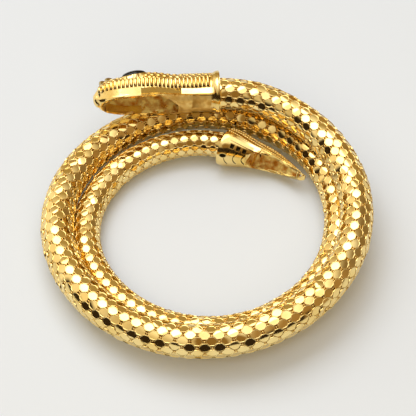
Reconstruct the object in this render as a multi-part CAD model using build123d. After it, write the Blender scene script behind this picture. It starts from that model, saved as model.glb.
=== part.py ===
from build123d import *
import math
import os

os.makedirs("parts", exist_ok=True)

# A snake bracelet of two turns, lying on its side. Millimetres, +Z up, floor at Z = 0.
# Places along the coil are in turns, clockwise seen from above: 0 at the back (+Y), where
# the neck leaves the head, 1 where the body passes below the head, and 2 at the tail cap.

# The mesh tube
NECK_DIAMETER = 8.65
TAIL_DIAMETER = 7.12
TAPER_START_TURN = 1.028
TAPER_END_TURN = 2.061
INNER_RADIUS = 32.5
TURN_GAP = 0.25

# The cast head, measured along its own axis from the face of its collar
HEAD_LENGTH = 34.8
HEAD_HALF_WIDTH = 5.45
HEAD_TOP = 4.6
HEAD_BELLY = 5.0
HEAD_WALL = 0.9
HEAD_YAW = 3.1
HEAD_PITCH = 0.9
HEAD_ROLL = 12.0
HEAD_LIFT = 0.55
COLLAR_X = 3.1
COLLAR_FLARE = 0.85
COLLAR_LENGTH = 2.4
COLLAR_LIP = 0.8
BARREL_LENGTH = 11.0
SOCKET_DEPTH = 7.5
SOCKET_WALL = 0.75
SOCKET_CLEARANCE = 0.1
BELLY_OPENING_START = 12.3
BELLY_OPENING_SNOUT = 2.3
BELLY_OPENING_WIDTH_SHARE = 0.86
ARCH_START = 10.4
ARCH_END = 16.2
RIM_REAR = 3.2
RIM_FRONT = 3.8
RIB_COUNT = 28
RIB_RADIUS = 0.46
RIB_PROUD = 0.28
RIB_FIRST = 3.2
RIB_SNOUT = 1.8

# The stones
EYE_LENGTH = 6.9
EYE_WIDTH = 4.0
EYE_DOME = 1.35
EYE_STATION_SHARE = 0.673
EYE_LEAN = 27.0
EYE_SLOPE = 10.0
STONE_GIRDLE = 0.5
STONE_GAP = 0.06
BEZEL_WALL = 0.3
BEZEL_HEIGHT = 0.15
CUP_DEPTH = 2.1
NOSE_BACK_DIAMETER = 1.7
NOSE_BACK_SNOUT = 4.4
NOSE_BACK_RISE = 1.15
NOSE_FRONT_DIAMETER = 1.35
NOSE_FRONT_SNOUT = 2.7
NOSE_FRONT_RISE = 0.85
NOSE_SIDE = 0.9
NOSE_DOME_SHARE = 0.36

# The cast tail cap, measured along its own axis from its mouth
CAP_LENGTH = 24.6
CAP_MOUTH_RADIUS = 5.5
CAP_WALL = 0.8
CAP_HEADING = -28.5
CAP_ROLL = -17.0
CAP_BORE_DEPTH = 5.0
CAP_FLOOR_GAP = 0.055
MOUTH_DISTANCE = 3.8
TUBE_END_HEADING = -22.0
SCOOP_START = 7.4
SCOOP_MIDDLE = 14.0
SCOOP_TIP = 1.0
SCOOP_HALF_WIDTH = 2.7
SCOOP_TIP_HALF_WIDTH = 0.6
SCOOP_FLOOR = 0.55
SCOOP_RIM_REAR = -2.9
SCOOP_RIM_MIDDLE = 0.1
SCOOP_RIM_TIP = -0.45
TIP_BAR_TIP = 2.3
TIP_BAR_LENGTH = 2.4
TIP_BAR_DEPTH = 1.0
TIP_BAR_WIDTH = 0.45

# The route's points, a little over sixteen to a turn
FIRST_VERTEX_TURN = 0.039
LAST_VERTEX_TURN = 2.008
VERTEX_COUNT = 33

# Where the lower turn lies: its radius as a share of INNER_RADIUS, and how far it is
# lifted off the floor, as a share of the neck's diameter or of the tail cap's lift
LOWER_TURN = [
    # (turn, radius share, lift share of neck, lift share of cap)
    (1.125, 1.174, 0.254, 0.00),
    (1.250, 1.083, 0.102, 0.00),
    (1.375, 1.021, 0.000, 0.00),
    (1.500, 1.009, 0.000, 0.00),
    (1.625, 0.991, 0.000, 0.00),
    (1.750, 1.007, 0.000, 0.00),
    (1.875, 0.974, 0.000, 0.32),
    (2.000, 0.909, 0.000, 1.00),
]

# Where the upper turn lies against the turn below it: the climb of the line between
# their centres, and the space between them as a multiple of TURN_GAP
UPPER_TURN = [
    # (turn, climb as a share of a right angle, space)
    (0.125, 0.940, 1.4),
    (0.250, 0.726, 2.8),
    (0.375, 0.596, 5.0),
    (0.500, 0.451, 2.5),
    (0.625, 0.370, 1.7),
    (0.750, 0.324, 1.0),
    (0.875, 0.168, 2.9),
    (1.000, 0.094, 8.3),
]
NECK_CLIMB = 1.052

# The head's sections, as shares of its length, half width, top and belly
HEAD_SECTIONS = [
    # (station, half width, top, belly, corner as a share of HEAD_TOP)
    (0.215, 0.900, 1.060, 1.030, 0.930),
    (0.364, 0.890, 0.930, 1.000, 0.620),
    (0.521, 1.000, 0.995, 0.980, 0.520),
    (0.672, 0.965, 0.900, 0.980, 0.550),
    (0.784, 0.880, 0.750, 0.980, 0.465),
    (0.868, 0.716, 0.690, 0.900, 0.400),
    (0.938, 0.477, 0.500, 0.740, 0.260),
    (0.983, 0.250, 0.080, 0.440, 0.110),
    (1.000, 0.150, -0.080, 0.340, 0.090),
]
SKIN_STEP = 1.9
HOLLOW_REAR = 0.33
HOLLOW_FRONT = 0.93

# The ribs' lower and upper ends along the head, from its axis
RIB_ENDS = [
    # (station share, lower end, upper end, both as shares of the top)
    (0.05, -0.26, 0.48),
    (0.30, -0.29, 0.35),
    (0.52, -0.15, 0.42),
    (0.72, -0.20, 0.39),
    (0.84, -0.21, 0.38),
    (0.95, -0.14, 0.24),
]

# The cap's sections, as shares of its length and mouth radius
CAP_SECTIONS = [
    # (station, half width, outer side, wrist side)
    (0.000, 0.990, 0.900, -1.100),
    (0.080, 0.980, 0.910, -1.010),
    (0.200, 0.870, 0.890, -0.760),
    (0.345, 0.730, 0.800, -0.520),
    (0.500, 0.615, 0.735, -0.360),
    (0.650, 0.490, 0.605, -0.295),
    (0.805, 0.365, 0.340, -0.260),
    (0.935, 0.250, 0.100, -0.240),
    (1.000, 0.120, 0.035, -0.145),
]


def between(rows, place, column):
    """A column's value at a place along a table, on a smooth curve through its rows."""
    places = [row[0] for row in rows]
    last = len(rows) - 1
    index = max(i for i in range(last) if places[i] <= place or i == 0)

    def slope(i):
        low, high = max(i - 1, 0), min(i + 1, last)
        return (rows[high][column] - rows[low][column]) / (places[high] - places[low])

    span = places[index + 1] - places[index]
    t = (place - places[index]) / span
    start, end = rows[index][column], rows[index + 1][column]
    rise = (2 * t**3 - 3 * t**2 + 1) * start + (3 * t**2 - 2 * t**3) * end
    lean = (t**3 - 2 * t**2 + t) * slope(index) + (t**3 - t**2) * slope(index + 1)
    return rise + lean * span


def tube_radius(turn):
    share = max(0.0, (turn - TAPER_START_TURN) / (TAPER_END_TURN - TAPER_START_TURN))
    return (NECK_DIAMETER + (TAIL_DIAMETER - NECK_DIAMETER) * share) / 2


def lower_rows():
    """The lower turn's rows: place in turns, ring radius, height of the tube's centre."""
    cap_lift = CAP_MOUTH_RADIUS + CAP_FLOOR_GAP - tube_radius(LOWER_TURN[-1][0])
    rows = []
    for turn, radius, neck_share, cap_share in LOWER_TURN:
        lift = neck_share * NECK_DIAMETER + cap_share * cap_lift
        rows.append((turn, radius * INNER_RADIUS, tube_radius(turn) + lift))
    return rows


def stacked(below, turn, climb, distance):
    """The row of a point that lies at a distance from the one a turn below it."""
    tilt = climb * math.pi / 2
    return (turn, below[1] + distance * math.cos(tilt), below[2] + distance * math.sin(tilt))


BORE_RADIUS = NECK_DIAMETER / 2 + SOCKET_CLEARANCE
BARREL_RADIUS = BORE_RADIUS + SOCKET_WALL
COLLAR_RADIUS = BARREL_RADIUS + COLLAR_FLARE


def coil_rows():
    """All rows of the coil, from the neck to the tail."""
    rows = lower_rows()
    count = len(UPPER_TURN)
    for turn, climb, space in reversed(UPPER_TURN):
        below = rows[count - 1]
        radii = tube_radius(turn) + tube_radius(below[0])
        rows.insert(0, stacked(below, turn, climb, radii + space * TURN_GAP))
    below = rows[count - 1]
    reach = COLLAR_RADIUS + tube_radius(below[0]) + HEAD_LIFT
    neck = stacked(below, 0.0, NECK_CLIMB, reach)
    return [neck] + rows


COIL = coil_rows()


def coil_point(turn, push=1.0):
    angle = 2 * math.pi * turn
    place = min(turn, COIL[-1][0])
    radius = between(COIL, place, 1) * push
    return Vector(radius * math.sin(angle), radius * math.cos(angle), between(COIL, place, 2))


# The head's own frame: X to its upper side, Y to its crown, Z along it to the snout
VERTEX_STEP = (LAST_VERTEX_TURN - FIRST_VERTEX_TURN) / (VERTEX_COUNT - 1)
VERTEX_PUSH = 1 / math.cos(math.pi * VERTEX_STEP)
neck_vertex = coil_point(FIRST_VERTEX_TURN, VERTEX_PUSH)
yaw, pitch, roll = (math.radians(a) for a in (HEAD_YAW, HEAD_PITCH, HEAD_ROLL))
head_axis = Vector(-math.cos(yaw) * math.cos(pitch), -math.sin(yaw) * math.cos(pitch), math.sin(pitch))
level = Vector(0, 0, 1).cross(head_axis).normalized() * -1
upright = head_axis.cross(level) * -1
crown = level * math.cos(roll) + upright * math.sin(roll)
side = upright * math.cos(roll) - level * math.sin(roll)
collar_distance = (neck_vertex.X - COLLAR_X) / -head_axis.X
HEAD_PLANE = Plane(origin=neck_vertex + head_axis * collar_distance, x_dir=side, z_dir=head_axis)
socket_end = neck_vertex + head_axis * (collar_distance + SOCKET_DEPTH)

# The tail cap's own frame: X down, Y to its outer side, Z along it to the tip
heading = math.radians(TUBE_END_HEADING)
cap_heading = math.radians(CAP_HEADING)
cap_roll = math.radians(CAP_ROLL)
last_vertex = coil_point(LAST_VERTEX_TURN, VERTEX_PUSH)
tube_direction = Vector(math.cos(heading), math.sin(heading), 0)
mouth = last_vertex + tube_direction * MOUTH_DISTANCE
cap_axis = Vector(math.cos(cap_heading), math.sin(cap_heading), 0)
outward = Vector(-math.sin(cap_heading), math.cos(cap_heading), 0)
up = Vector(0, 0, 1)
cap_side = outward * math.sin(cap_roll) - up * math.cos(cap_roll)
CAP_PLANE = Plane(origin=mouth, x_dir=cap_side, z_dir=cap_axis)
tube_end = mouth + tube_direction * CAP_BORE_DEPTH


def route():
    """The tube's route as points, from inside the head to inside the tail cap."""
    turns = [FIRST_VERTEX_TURN + VERTEX_STEP * k for k in range(VERTEX_COUNT)]
    return [socket_end] + [coil_point(turn, VERTEX_PUSH) for turn in turns] + [tube_end]


def corner_radii(points):
    """The radius of each corner's arc: 0.45 of its shorter run over tan(half the turn)."""
    radii = []
    for before, here, after in zip(points, points[1:], points[2:]):
        turn = math.radians((here - before).get_angle(after - here))
        shorter = min((here - before).length, (after - here).length)
        radii.append(0.45 * shorter / math.tan(turn / 2))
    return radii


def report_tube(name, solid, length, start_radius, end_radius):
    section = (start_radius**2 + start_radius * end_radius + end_radius**2) / 3
    print(name, "volume", round(solid.volume, 1), "section x length", round(math.pi * section * length, 1))


def body():
    """The mesh tube in two stretches that meet below the head."""
    points = route()
    radii = corner_radii(points)
    print("route arcs", [round(r, 1) for r in radii])
    wire = FilletPolyline(*points, radius=radii)
    edges = wire.edges()
    split = round(len(edges) / 2)
    upper_edges, lower_edges = edges[:split], edges[split:]

    upper_wire = Wire(upper_edges)
    start = Plane(origin=upper_wire @ 0, z_dir=upper_wire % 0)
    upper = sweep(start * Circle(NECK_DIAMETER / 2), path=upper_wire)
    report_tube("body_upper", upper, upper_wire.length, NECK_DIAMETER / 2, NECK_DIAMETER / 2)

    lower_wire = Wire(lower_edges)
    sections = [
        Plane(origin=lower_wire @ 0, z_dir=lower_wire % 0) * Circle(NECK_DIAMETER / 2),
        Plane(origin=lower_wire @ 1, z_dir=lower_wire % 1) * Circle(TAIL_DIAMETER / 2),
    ]
    lower = sweep(sections, path=lower_wire, multisection=True)
    report_tube("body_lower", lower, lower_wire.length, NECK_DIAMETER / 2, TAIL_DIAMETER / 2)
    return upper, lower


def section_value(station, column):
    return between(HEAD_SECTIONS, station / HEAD_LENGTH, column)


def head_section(station, inset):
    half = section_value(station, 1) * HEAD_HALF_WIDTH - inset
    high = section_value(station, 2) * HEAD_TOP - inset
    low = section_value(station, 3) * HEAD_BELLY
    radius = min(section_value(station, 4) * HEAD_TOP, 0.96 * half, 0.48 * (high + low))
    centre = Plane.XY.offset(station) * Pos(0, (high - low) / 2)
    return centre * RectangleRounded(2 * half, high + low, radius)


def head_skin(inset, rear_share, front_share):
    """The head's form, through sections about SKIN_STEP apart."""
    length = (front_share - rear_share) * HEAD_LENGTH
    steps = math.ceil(length / SKIN_STEP)
    stations = [rear_share * HEAD_LENGTH + length * k / steps for k in range(steps + 1)]
    return loft([head_section(station, inset) for station in stations], ruled=True)


def half_width_at(station):
    """Half the head's width: its round barrel at the rear, its sections further on."""
    if station / HEAD_LENGTH < HEAD_SECTIONS[1][0]:
        return BARREL_RADIUS
    return section_value(station, 1) * HEAD_HALF_WIDTH


def belly_trim():
    """All that lies below the line of the jaw's rim, in front of the slanting arch."""
    front = HEAD_LENGTH + 1
    deepest, far = 1.06 * HEAD_BELLY, 4 * HEAD_BELLY
    outline = Plane.YZ * Polyline(
        (-RIM_REAR, ARCH_END), (-RIM_FRONT, front), (-far, front), (-far, ARCH_START), (-deepest, ARCH_START),
        close=True,
    )
    return extrude(make_face(outline), amount=2 * HEAD_HALF_WIDTH, both=True)


def belly_opening():
    """The slot in the belly, round at both ends, that opens the hollow head."""
    half = HEAD_HALF_WIDTH - HEAD_WALL
    end = HEAD_LENGTH - BELLY_OPENING_SNOUT
    slot = SlotOverall(end - BELLY_OPENING_START, 2 * half * BELLY_OPENING_WIDTH_SHARE, rotation=90)
    middle = (BELLY_OPENING_START + end) / 2
    ground = Plane(origin=(0, -RIM_REAR / 2, middle), x_dir=(1, 0, 0), z_dir=(0, -1, 0))
    return extrude(ground * slot, amount=3 * HEAD_BELLY)


def ribs():
    """The cast ribs along both sides of the head."""
    shapes = []
    run = HEAD_LENGTH - RIB_SNOUT - RIB_FIRST
    for k in range(RIB_COUNT):
        station = RIB_FIRST + run * k / (RIB_COUNT - 1)
        share = station / HEAD_LENGTH
        low = between(RIB_ENDS, share, 1) * HEAD_TOP
        high = between(RIB_ENDS, share, 2) * HEAD_TOP
        reach = half_width_at(station) + RIB_PROUD - RIB_RADIUS
        for hand in (1, -1):
            centre = Location((hand * reach, (low + high) / 2, station), (90, 0, 0))
            shapes.append(centre * Cylinder(RIB_RADIUS, high - low))
    return shapes


def eye_place(hand):
    """The seat of an eye stone: on the rounded corner, leaning out and down to the snout."""
    station = EYE_STATION_SHARE * HEAD_LENGTH
    half = section_value(station, 1) * HEAD_HALF_WIDTH
    top = section_value(station, 2) * HEAD_TOP
    corner = section_value(station, 4) * HEAD_TOP
    lean = math.radians(EYE_LEAN)
    x = half - corner + corner * math.sin(lean)
    y = top - corner + corner * math.cos(lean)
    normal = Vector(hand * math.sin(lean), math.cos(lean), math.tan(math.radians(EYE_SLOPE)))
    return Plane(origin=(hand * x, y, station), x_dir=normal.cross(Vector(1, 0, 0)), z_dir=normal)


def nose_place(from_snout, rise):
    """The seat of a nose stone: near the crown's middle line, raised on its cup."""
    station = HEAD_LENGTH - from_snout
    seat = section_value(station, 2) * HEAD_TOP + rise
    return Plane(origin=(NOSE_SIDE, seat, station), x_dir=(0, 0, 1), z_dir=(0, 1, 0))


def cabochon(length, width, dome):
    """A domed stone with a short straight girdle below its dome."""
    ball = scale(Sphere(1), by=(length / 2, width / 2, dome))
    upper_half = Pos(0, 0, dome) * Box(2 * length, 2 * width, 2 * dome)
    girdle = extrude(Plane.XY.offset(-STONE_GIRDLE) * Ellipse(length / 2, width / 2), amount=STONE_GIRDLE)
    if abs(length - width) < 0.001:
        girdle = Pos(0, 0, -STONE_GIRDLE / 2) * Cylinder(length / 2, STONE_GIRDLE)
    return (ball & upper_half) + girdle


def oval(length, width, grow, low, high):
    long_half, short_half = length / 2 + grow, width / 2 + grow
    if abs(long_half - short_half) < 0.001:
        return Pos(0, 0, (low + high) / 2) * Cylinder(long_half, high - low)
    return extrude(Plane.XY.offset(low) * Ellipse(long_half, short_half), amount=high - low)


STONES = {
    "eye_left": (eye_place(1), EYE_LENGTH, EYE_WIDTH, EYE_DOME),
    "eye_right": (eye_place(-1), EYE_LENGTH, EYE_WIDTH, EYE_DOME),
    "nose_stone_back": (
        nose_place(NOSE_BACK_SNOUT, NOSE_BACK_RISE),
        NOSE_BACK_DIAMETER, NOSE_BACK_DIAMETER, NOSE_BACK_DIAMETER * NOSE_DOME_SHARE,
    ),
    "nose_stone_front": (
        nose_place(NOSE_FRONT_SNOUT, NOSE_FRONT_RISE),
        NOSE_FRONT_DIAMETER, NOSE_FRONT_DIAMETER, NOSE_FRONT_DIAMETER * NOSE_DOME_SHARE,
    ),
}
SEAT_DEPTH = STONE_GIRDLE + STONE_GAP


def head():
    """The hollow cast head, with its socket, collar, ribs and bezels."""
    barrel = Pos(0, 0, BARREL_LENGTH / 2) * Cylinder(BARREL_RADIUS, BARREL_LENGTH)
    lip = Pos(0, 0, COLLAR_LIP / 2) * Cylinder(COLLAR_RADIUS, COLLAR_LIP)
    flare_length = COLLAR_LENGTH - COLLAR_LIP
    flare = Pos(0, 0, COLLAR_LIP + flare_length / 2) * Cone(COLLAR_RADIUS, BARREL_RADIUS, flare_length)

    solid = head_skin(0.0, HEAD_SECTIONS[0][0], HEAD_SECTIONS[-1][0]) - belly_trim()
    solid = solid + barrel + lip + flare
    solid = solid + ribs()
    for place, length, width, dome in STONES.values():
        solid = solid + place * oval(length, width, STONE_GAP + BEZEL_WALL, -CUP_DEPTH, BEZEL_HEIGHT)

    hollow = head_skin(HEAD_WALL, HOLLOW_REAR, HOLLOW_FRONT)
    rear = SOCKET_DEPTH + HEAD_WALL
    rear_length = BARREL_LENGTH + 1.0 - rear
    rear_hollow = Pos(0, 0, rear + rear_length / 2) * Cylinder(BARREL_RADIUS - HEAD_WALL, rear_length)
    solid = solid - hollow - rear_hollow - belly_opening()
    for place, length, width, dome in STONES.values():
        solid = solid + place * oval(length, width, STONE_GAP + BEZEL_WALL, -1.9 * SEAT_DEPTH, -SEAT_DEPTH)
        solid = solid - place * oval(length, width, STONE_GAP, -SEAT_DEPTH, 2 * dome)
    depth = SOCKET_DEPTH + SOCKET_CLEARANCE
    return solid - Cylinder(BORE_RADIUS, 2 * depth)


def cap_section(row, inset):
    station, half_width, outer, wrist = row
    half = half_width * CAP_MOUTH_RADIUS - inset
    high = outer * CAP_MOUTH_RADIUS - inset
    low = wrist * CAP_MOUTH_RADIUS + inset
    centre = Plane.XY.offset(station * CAP_LENGTH) * Pos(0, (high + low) / 2)
    return centre * Ellipse(half, (high - low) / 2)


def scoop_outline(rear, rear_half, front, front_half):
    """A slot round at both ends, wider at the rear, drawn across the head or cap."""
    big, small = rear + rear_half, front - front_half
    taper = Polyline(
        (-rear_half, big), (rear_half, big), (front_half, small), (-front_half, small), close=True
    )
    return make_face(taper) + Pos(0, big) * Circle(rear_half) + Pos(0, small) * Circle(front_half)


def tail_cap():
    """The hollow cast tail cap: a closed socket, then a shell that is scooped open."""
    skin = loft([cap_section(row, 0.0) for row in CAP_SECTIONS])
    inner_rows = [row for row in CAP_SECTIONS if 0.3 < row[0] < 0.85]
    hollow = loft([cap_section(row, CAP_WALL) for row in inner_rows])

    far = 4 * CAP_MOUTH_RADIUS
    below = Plane.YZ * Polyline(
        (SCOOP_RIM_REAR, SCOOP_START), (SCOOP_RIM_MIDDLE, SCOOP_MIDDLE), (SCOOP_RIM_TIP, CAP_LENGTH + 1),
        (-far, CAP_LENGTH + 1), (-far, SCOOP_START), close=True,
    )
    trim = extrude(make_face(below), amount=2 * CAP_MOUTH_RADIUS, both=True)
    outline = scoop_outline(SCOOP_START, SCOOP_HALF_WIDTH, CAP_LENGTH - SCOOP_TIP, SCOOP_TIP_HALF_WIDTH)
    ground = Plane(origin=(0, SCOOP_FLOOR, 0), x_dir=(1, 0, 0), z_dir=(0, -1, 0))
    scoop = extrude(ground * outline, amount=far)
    bar_place = Pos(0, 0, CAP_LENGTH - TIP_BAR_TIP)
    bar = bar_place * Box(TIP_BAR_LENGTH, TIP_BAR_DEPTH, TIP_BAR_WIDTH)

    bore_length = 2 * (CAP_BORE_DEPTH + SOCKET_CLEARANCE)
    bore = Cylinder(TAIL_DIAMETER / 2 + SOCKET_CLEARANCE, bore_length)
    tube_axis = CAP_PLANE.to_local_coords(mouth + tube_direction)
    bore = Plane(origin=(0, 0, 0), z_dir=tube_axis) * bore
    return (skin - trim - scoop - hollow) + (bar & skin) - bore


if __name__ == "__main__":
    upper, lower = body()
    export_step(upper, "parts/body_upper.step")
    export_step(lower, "parts/body_lower.step")
    head_solid = HEAD_PLANE.location * head()
    export_step(head_solid, "parts/head.step")
    for name, (place, length, width, dome) in STONES.items():
        stone = HEAD_PLANE.location * (place.location * cabochon(length, width, dome))
        export_step(stone, f"parts/{name}.step")
    export_step(CAP_PLANE.location * tail_cap(), "parts/tail_cap.step")
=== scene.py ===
import math

import bmesh
import bpy
from mathutils import Matrix, Vector, noise
from mathutils.bvhtree import BVHTree


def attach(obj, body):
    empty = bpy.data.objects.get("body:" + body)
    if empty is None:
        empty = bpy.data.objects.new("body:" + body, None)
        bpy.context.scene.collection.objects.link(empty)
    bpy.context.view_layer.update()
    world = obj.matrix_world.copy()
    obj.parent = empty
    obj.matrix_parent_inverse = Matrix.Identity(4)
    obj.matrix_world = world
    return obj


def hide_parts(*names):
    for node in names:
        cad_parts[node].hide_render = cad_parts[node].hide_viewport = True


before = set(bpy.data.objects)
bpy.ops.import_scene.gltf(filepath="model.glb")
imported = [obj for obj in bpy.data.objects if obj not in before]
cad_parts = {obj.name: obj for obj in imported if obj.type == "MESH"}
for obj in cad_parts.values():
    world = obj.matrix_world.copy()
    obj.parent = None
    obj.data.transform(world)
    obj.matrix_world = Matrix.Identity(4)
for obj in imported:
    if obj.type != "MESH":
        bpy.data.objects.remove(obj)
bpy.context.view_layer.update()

# The camera. It looks down on the bracelet from the front, 40 cm away, with a long lens,
# and it aims a little above the bracelet's centre, which lies below the picture's middle.
MM = 0.001
UP = Vector((0, 0, 1))
PHOTO_SIZE = 416
SENSOR_WIDTH = 36
CAMERA_ELEVATION = math.radians(52.5)
CAMERA_DISTANCE = 404.3 * MM
FOCAL_PIXELS = 1498
CENTRE_BELOW_MIDDLE = 30.9

camera_data = bpy.data.cameras.new("camera")
camera_data.sensor_width = SENSOR_WIDTH
camera_data.lens = FOCAL_PIXELS / PHOTO_SIZE * SENSOR_WIDTH
camera_data.clip_start = 0.01
camera = bpy.data.objects.new("camera", camera_data)
bpy.context.scene.collection.objects.link(camera)
camera.location = CAMERA_DISTANCE * Vector((0, -math.cos(CAMERA_ELEVATION), math.sin(CAMERA_ELEVATION)))
raised_aim = math.atan(CENTRE_BELOW_MIDDLE / FOCAL_PIXELS)
camera.rotation_euler = (math.pi / 2 - CAMERA_ELEVATION + raised_aim, 0, 0)
bpy.context.scene.camera = camera
bpy.context.scene.view_settings.view_transform = "Standard"


def linear(hex_colour, alpha=1.0):
    """An sRGB hex colour as the linear values that Blender's shaders use."""
    channels = [int(hex_colour[i:i + 2], 16) / 255 for i in (1, 3, 5)]
    shares = [c / 12.92 if c <= 0.04045 else ((c + 0.055) / 1.055) ** 2.4 for c in channels]
    return (*shares, alpha)


def add(tree, kind, inputs=None, **settings):
    """Adds a node to a tree. A socket among the inputs is linked, and a value is set."""
    node = tree.nodes.new(kind)
    for name, value in settings.items():
        setattr(node, name, value)
    for name, value in (inputs or {}).items():
        if isinstance(value, bpy.types.NodeSocket):
            tree.links.new(value, node.inputs[name])
        else:
            node.inputs[name].default_value = value
    return node


def new_object(name, mesh):
    created = bpy.data.objects.new(name, mesh)
    bpy.context.scene.collection.objects.link(created)
    return created


# The floor: one large plain sheet of matt paper. It is rough all over, so it mirrors
# nothing, and its fine tooth keeps it from looking like plastic. The grain is drawn
# coarser than real paper's, or it wouldn't show.
FLOOR_HALF = 1.5
PAPER_GRAIN = 1.1
PAPER_TOOTH = 0.2

floor_mesh = bpy.data.meshes.new("floor")
floor_corners = [(x * FLOOR_HALF, y * FLOOR_HALF, 0) for x, y in ((-1, -1), (1, -1), (1, 1), (-1, 1))]
floor_mesh.from_pydata(floor_corners, [], [(0, 1, 2, 3)])
floor = new_object("floor", floor_mesh)

paper = bpy.data.materials.new("matt_pale_paper")
paper.use_nodes = True
tree = paper.node_tree
coords = add(tree, "ShaderNodeTexCoord").outputs["Object"]
grain = add(
    tree, "ShaderNodeTexNoise", {"Vector": coords, "Scale": 1 / (PAPER_GRAIN * MM), "Detail": 3.0}
).outputs[0]
bump = add(tree, "ShaderNodeBump", {"Height": grain, "Strength": 0.05, "Distance": PAPER_TOOTH * MM})
surface = tree.nodes["Principled BSDF"]
surface.inputs["Base Color"].default_value = linear("#DAE3F0")
surface.inputs["Roughness"].default_value = 0.85
tree.links.new(bump.outputs[0], surface.inputs["Normal"])
floor_mesh.materials.append(paper)

# The studio round it. The plates mirror its sides: the white ceiling makes them bright,
# the tan sides deep gold, and the dim part of the room, in front and to the left, makes
# the dark row along the ring. Each side blends into the ones before it.
STUDIO_SIDES = [
    # (name, direction, cosine where it starts, cosine where it is full, colour)
    ("ceiling", (0.0, 0.15, 1.0), 0.72, 0.88, "#FFFDF8"),
    ("pale_left", (-0.80, 0.50, 0.33), 0.55, 0.80, "#E6DCCB"),
    ("back", (0.15, 0.95, 0.25), 0.62, 0.84, "#97855F"),
    ("camera_side", (-0.02, -0.70, 0.72), 0.955, 0.975, "#7A6038"),
    ("right", (0.92, 0.12, 0.36), 0.62, 0.86, "#77654A"),
    ("tan_right", (0.75, -0.45, 0.48), 0.80, 0.93, "#8E7450"),
    ("tan_low_back", (0.35, 0.90, -0.10), 0.80, 0.95, "#8A6A38"),
]
WALL_COLOUR = "#BDB29E"
DIM_COLOUR = "#2A2118"
DIM_SIDE = Vector((-0.35, -0.94, 0.0))
DIM_SIDE_EDGE = (0.16, 0.26)
DIM_TOP_EDGE = (0.60, 0.52)

world = bpy.data.worlds.new("studio")
world.use_nodes = True
bpy.context.scene.world = world
tree = world.node_tree
direction = add(tree, "ShaderNodeTexCoord").outputs["Generated"]
height = add(tree, "ShaderNodeSeparateXYZ", {0: direction}).outputs["Z"]
studio = linear(WALL_COLOUR)
for name, toward, start, full, colour in STUDIO_SIDES:
    toward = Vector(toward).normalized()
    facing = add(
        tree, "ShaderNodeVectorMath", {0: direction, 1: toward}, operation="DOT_PRODUCT"
    ).outputs["Value"]
    share = add(tree, "ShaderNodeMapRange", {"Value": facing, "From Min": start, "From Max": full})
    studio = add(
        tree, "ShaderNodeMix", {"Factor": share.outputs[0], 6: studio, 7: linear(colour)},
        data_type="RGBA", label=name,
    ).outputs[2]
facing = add(
    tree, "ShaderNodeVectorMath", {0: direction, 1: DIM_SIDE}, operation="DOT_PRODUCT"
).outputs["Value"]
dim_shares = []
for value, (start, full) in ((facing, DIM_SIDE_EDGE), (height, DIM_TOP_EDGE)):
    share = add(tree, "ShaderNodeMapRange", {"Value": value, "From Min": start, "From Max": full})
    dim_shares.append(share.outputs[0])
dim = add(tree, "ShaderNodeMath", {0: dim_shares[0], 1: dim_shares[1]}, operation="MULTIPLY")
studio = add(
    tree, "ShaderNodeMix", {"Factor": dim.outputs[0], 6: studio, 7: linear(DIM_COLOUR)}, data_type="RGBA"
).outputs[2]
background = tree.nodes["Background"]
tree.links.new(studio, background.inputs["Color"])
background.inputs["Strength"].default_value = 1.38


def add_softbox(name, direction, distance, size, energy):
    """A rectangular soft light at a distance along a direction, aimed at the bracelet."""
    data = bpy.data.lights.new(name, "AREA")
    data.shape = "RECTANGLE"
    data.size, data.size_y = size
    data.energy = energy
    light = bpy.data.objects.new(name, data)
    bpy.context.scene.collection.objects.link(light)
    light.location = Vector(direction).normalized() * distance
    light.rotation_euler = Vector(direction).to_track_quat("Z", "Y").to_euler()
    return light


# The key light hangs above and a little behind, and gives the white rows of plates. A warm
# fill from the front lightens the shadow before the ring and the raw hollows. It is kept
# out of reflections, where it would wash out the dark row.
add_softbox("key_softbox", (-0.22, 0.36, 0.90), 0.9, (0.74, 0.60), 3.2)
front_fill = add_softbox("front_fill", (0.0, -0.80, 0.60), 0.9, (0.90, 0.50), 3.0)
front_fill.data.color = (1.0, 0.80, 0.50)
front_fill.visible_glossy = False


# The coil's centre line, the same as the tube's in the part's source: tables of where the
# lower turn lies and how the upper one leans on it, and points a little over sixteen to a
# turn. Lengths here are millimetres, and places along the coil are in turns.
NECK_RADIUS = 8.65 / 2
TAIL_RADIUS = 7.12 / 2
TAPER_START_TURN = 1.028
TAPER_END_TURN = 2.061
INNER_RADIUS = 32.5
TURN_GAP = 0.25
COLLAR_RADIUS = 6.025
HEAD_LIFT = 0.55
CAP_MOUTH_RADIUS = 5.5
CAP_FLOOR_GAP = 0.055
LOWER_TURN = [
    # (turn, radius share, lift share of neck, lift share of cap)
    (1.125, 1.174, 0.254, 0.00),
    (1.250, 1.083, 0.102, 0.00),
    (1.375, 1.021, 0.000, 0.00),
    (1.500, 1.009, 0.000, 0.00),
    (1.625, 0.991, 0.000, 0.00),
    (1.750, 1.007, 0.000, 0.00),
    (1.875, 0.974, 0.000, 0.32),
    (2.000, 0.909, 0.000, 1.00),
]
UPPER_TURN = [
    # (turn, climb as a share of a right angle, space)
    (0.125, 0.940, 1.4),
    (0.250, 0.726, 2.8),
    (0.375, 0.596, 5.0),
    (0.500, 0.451, 2.5),
    (0.625, 0.370, 1.7),
    (0.750, 0.324, 1.0),
    (0.875, 0.168, 2.9),
    (1.000, 0.094, 8.3),
]
NECK_CLIMB = 1.052
FIRST_VERTEX_TURN = 0.039
LAST_VERTEX_TURN = 2.008
VERTEX_COUNT = 33


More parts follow.
